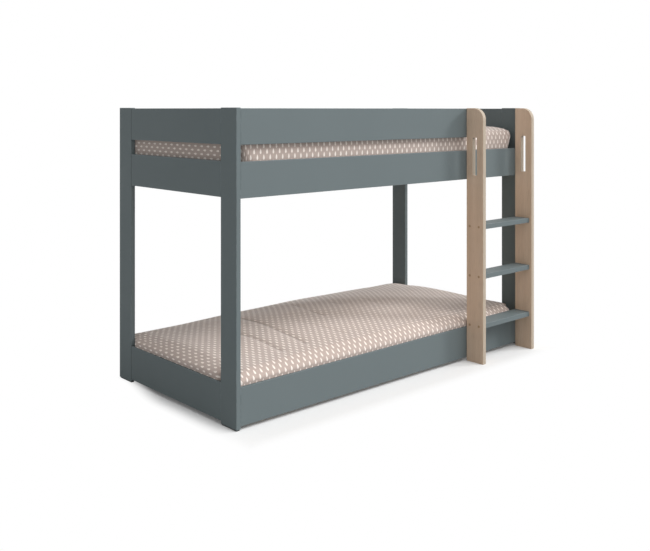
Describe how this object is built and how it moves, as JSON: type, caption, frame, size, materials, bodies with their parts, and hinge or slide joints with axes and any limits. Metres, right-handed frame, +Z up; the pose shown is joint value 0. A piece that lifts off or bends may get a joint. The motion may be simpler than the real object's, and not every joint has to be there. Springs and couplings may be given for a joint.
{
  "type": "bunk bed",
  "caption": "Low bunk bed of grey lacquered boards with slatted bases, printed quilted mattresses and a pale wood ladder fixed in front.",
  "frame": {"origin": "on the floor, in the middle of the whole part with its ladder", "axes": "+X along the bed towards the ladder's end, -Y to the front with the ladder, +Z up"},
  "size_m": [1.966, 1.068, 1.321],
  "materials": {
    "grey_lacquer": "satin",
    "pale_wood": "matte",
    "pine": "matte",
    "beech": "matte",
    "drop_print_cover": "matte",
    "zinc_steel": "satin",
    "brown_plastic": "matte",
    "black_plastic": "matte"
  },
  "bodies": {
    "bed_frame": {"post_front_left": "grey_lacquer", "post_front_right": "grey_lacquer", "post_rear_left": "grey_lacquer", "post_rear_right": "grey_lacquer", "front_base": "grey_lacquer", "front_rail": "grey_lacquer", "front_guard": "grey_lacquer", "rear_base": "grey_lacquer", "rear_rail": "grey_lacquer", "rear_guard": "grey_lacquer", "left_end_base": "grey_lacquer", "left_end_rail": "grey_lacquer", "left_end_guard": "grey_lacquer", "right_end_base": "grey_lacquer", "right_end_rail": "grey_lacquer", "right_end_guard": "grey_lacquer", "ladder_rung_1": "grey_lacquer", "ladder_rung_2": "grey_lacquer", "ladder_rung_3": "grey_lacquer", "ladder_stile_left": "pale_wood", "ladder_stile_right": "pale_wood", "lower_front_cleat": "pine", "lower_rear_cleat": "pine", "upper_front_cleat": "pine", "upper_rear_cleat": "pine", "lower_slat_01": "pine", "lower_slat_02": "pine", "lower_slat_03": "pine", "lower_slat_04": "pine", "lower_slat_05": "pine", "lower_slat_06": "pine", "lower_slat_07": "pine", "lower_slat_08": "pine", "lower_slat_09": "pine", "lower_slat_10": "pine", "lower_slat_11": "pine", "lower_slat_12": "pine", "upper_slat_01": "pine", "upper_slat_02": "pine", "upper_slat_03": "pine", "upper_slat_04": "pine", "upper_slat_05": "pine", "upper_slat_06": "pine", "upper_slat_07": "pine", "upper_slat_08": "pine", "upper_slat_09": "pine", "upper_slat_10": "pine", "upper_slat_11": "pine", "upper_slat_12": "pine", "wood_dowels": "beech", "cam_bolts": "zinc_steel", "cam_discs": "zinc_steel", "ladder_screws": "zinc_steel", "base_screws": "zinc_steel", "screw_caps": "brown_plastic", "foot_pads": "black_plastic"},
    "upper_mattress": {"upper_mattress": "drop_print_cover"},
    "lower_mattress": {"lower_mattress": "drop_print_cover"}
  },
  "joints": [
    {"name": "upper_mattress_lift", "type": "slide", "parent": "bed_frame", "child": "upper_mattress", "axis": [0, 0, 1], "range_m": [0, 0.3]},
    {"name": "lower_mattress_lift", "type": "slide", "parent": "bed_frame", "child": "lower_mattress", "axis": [0, 0, 1], "range_m": [0, 0.25]}
  ]
}
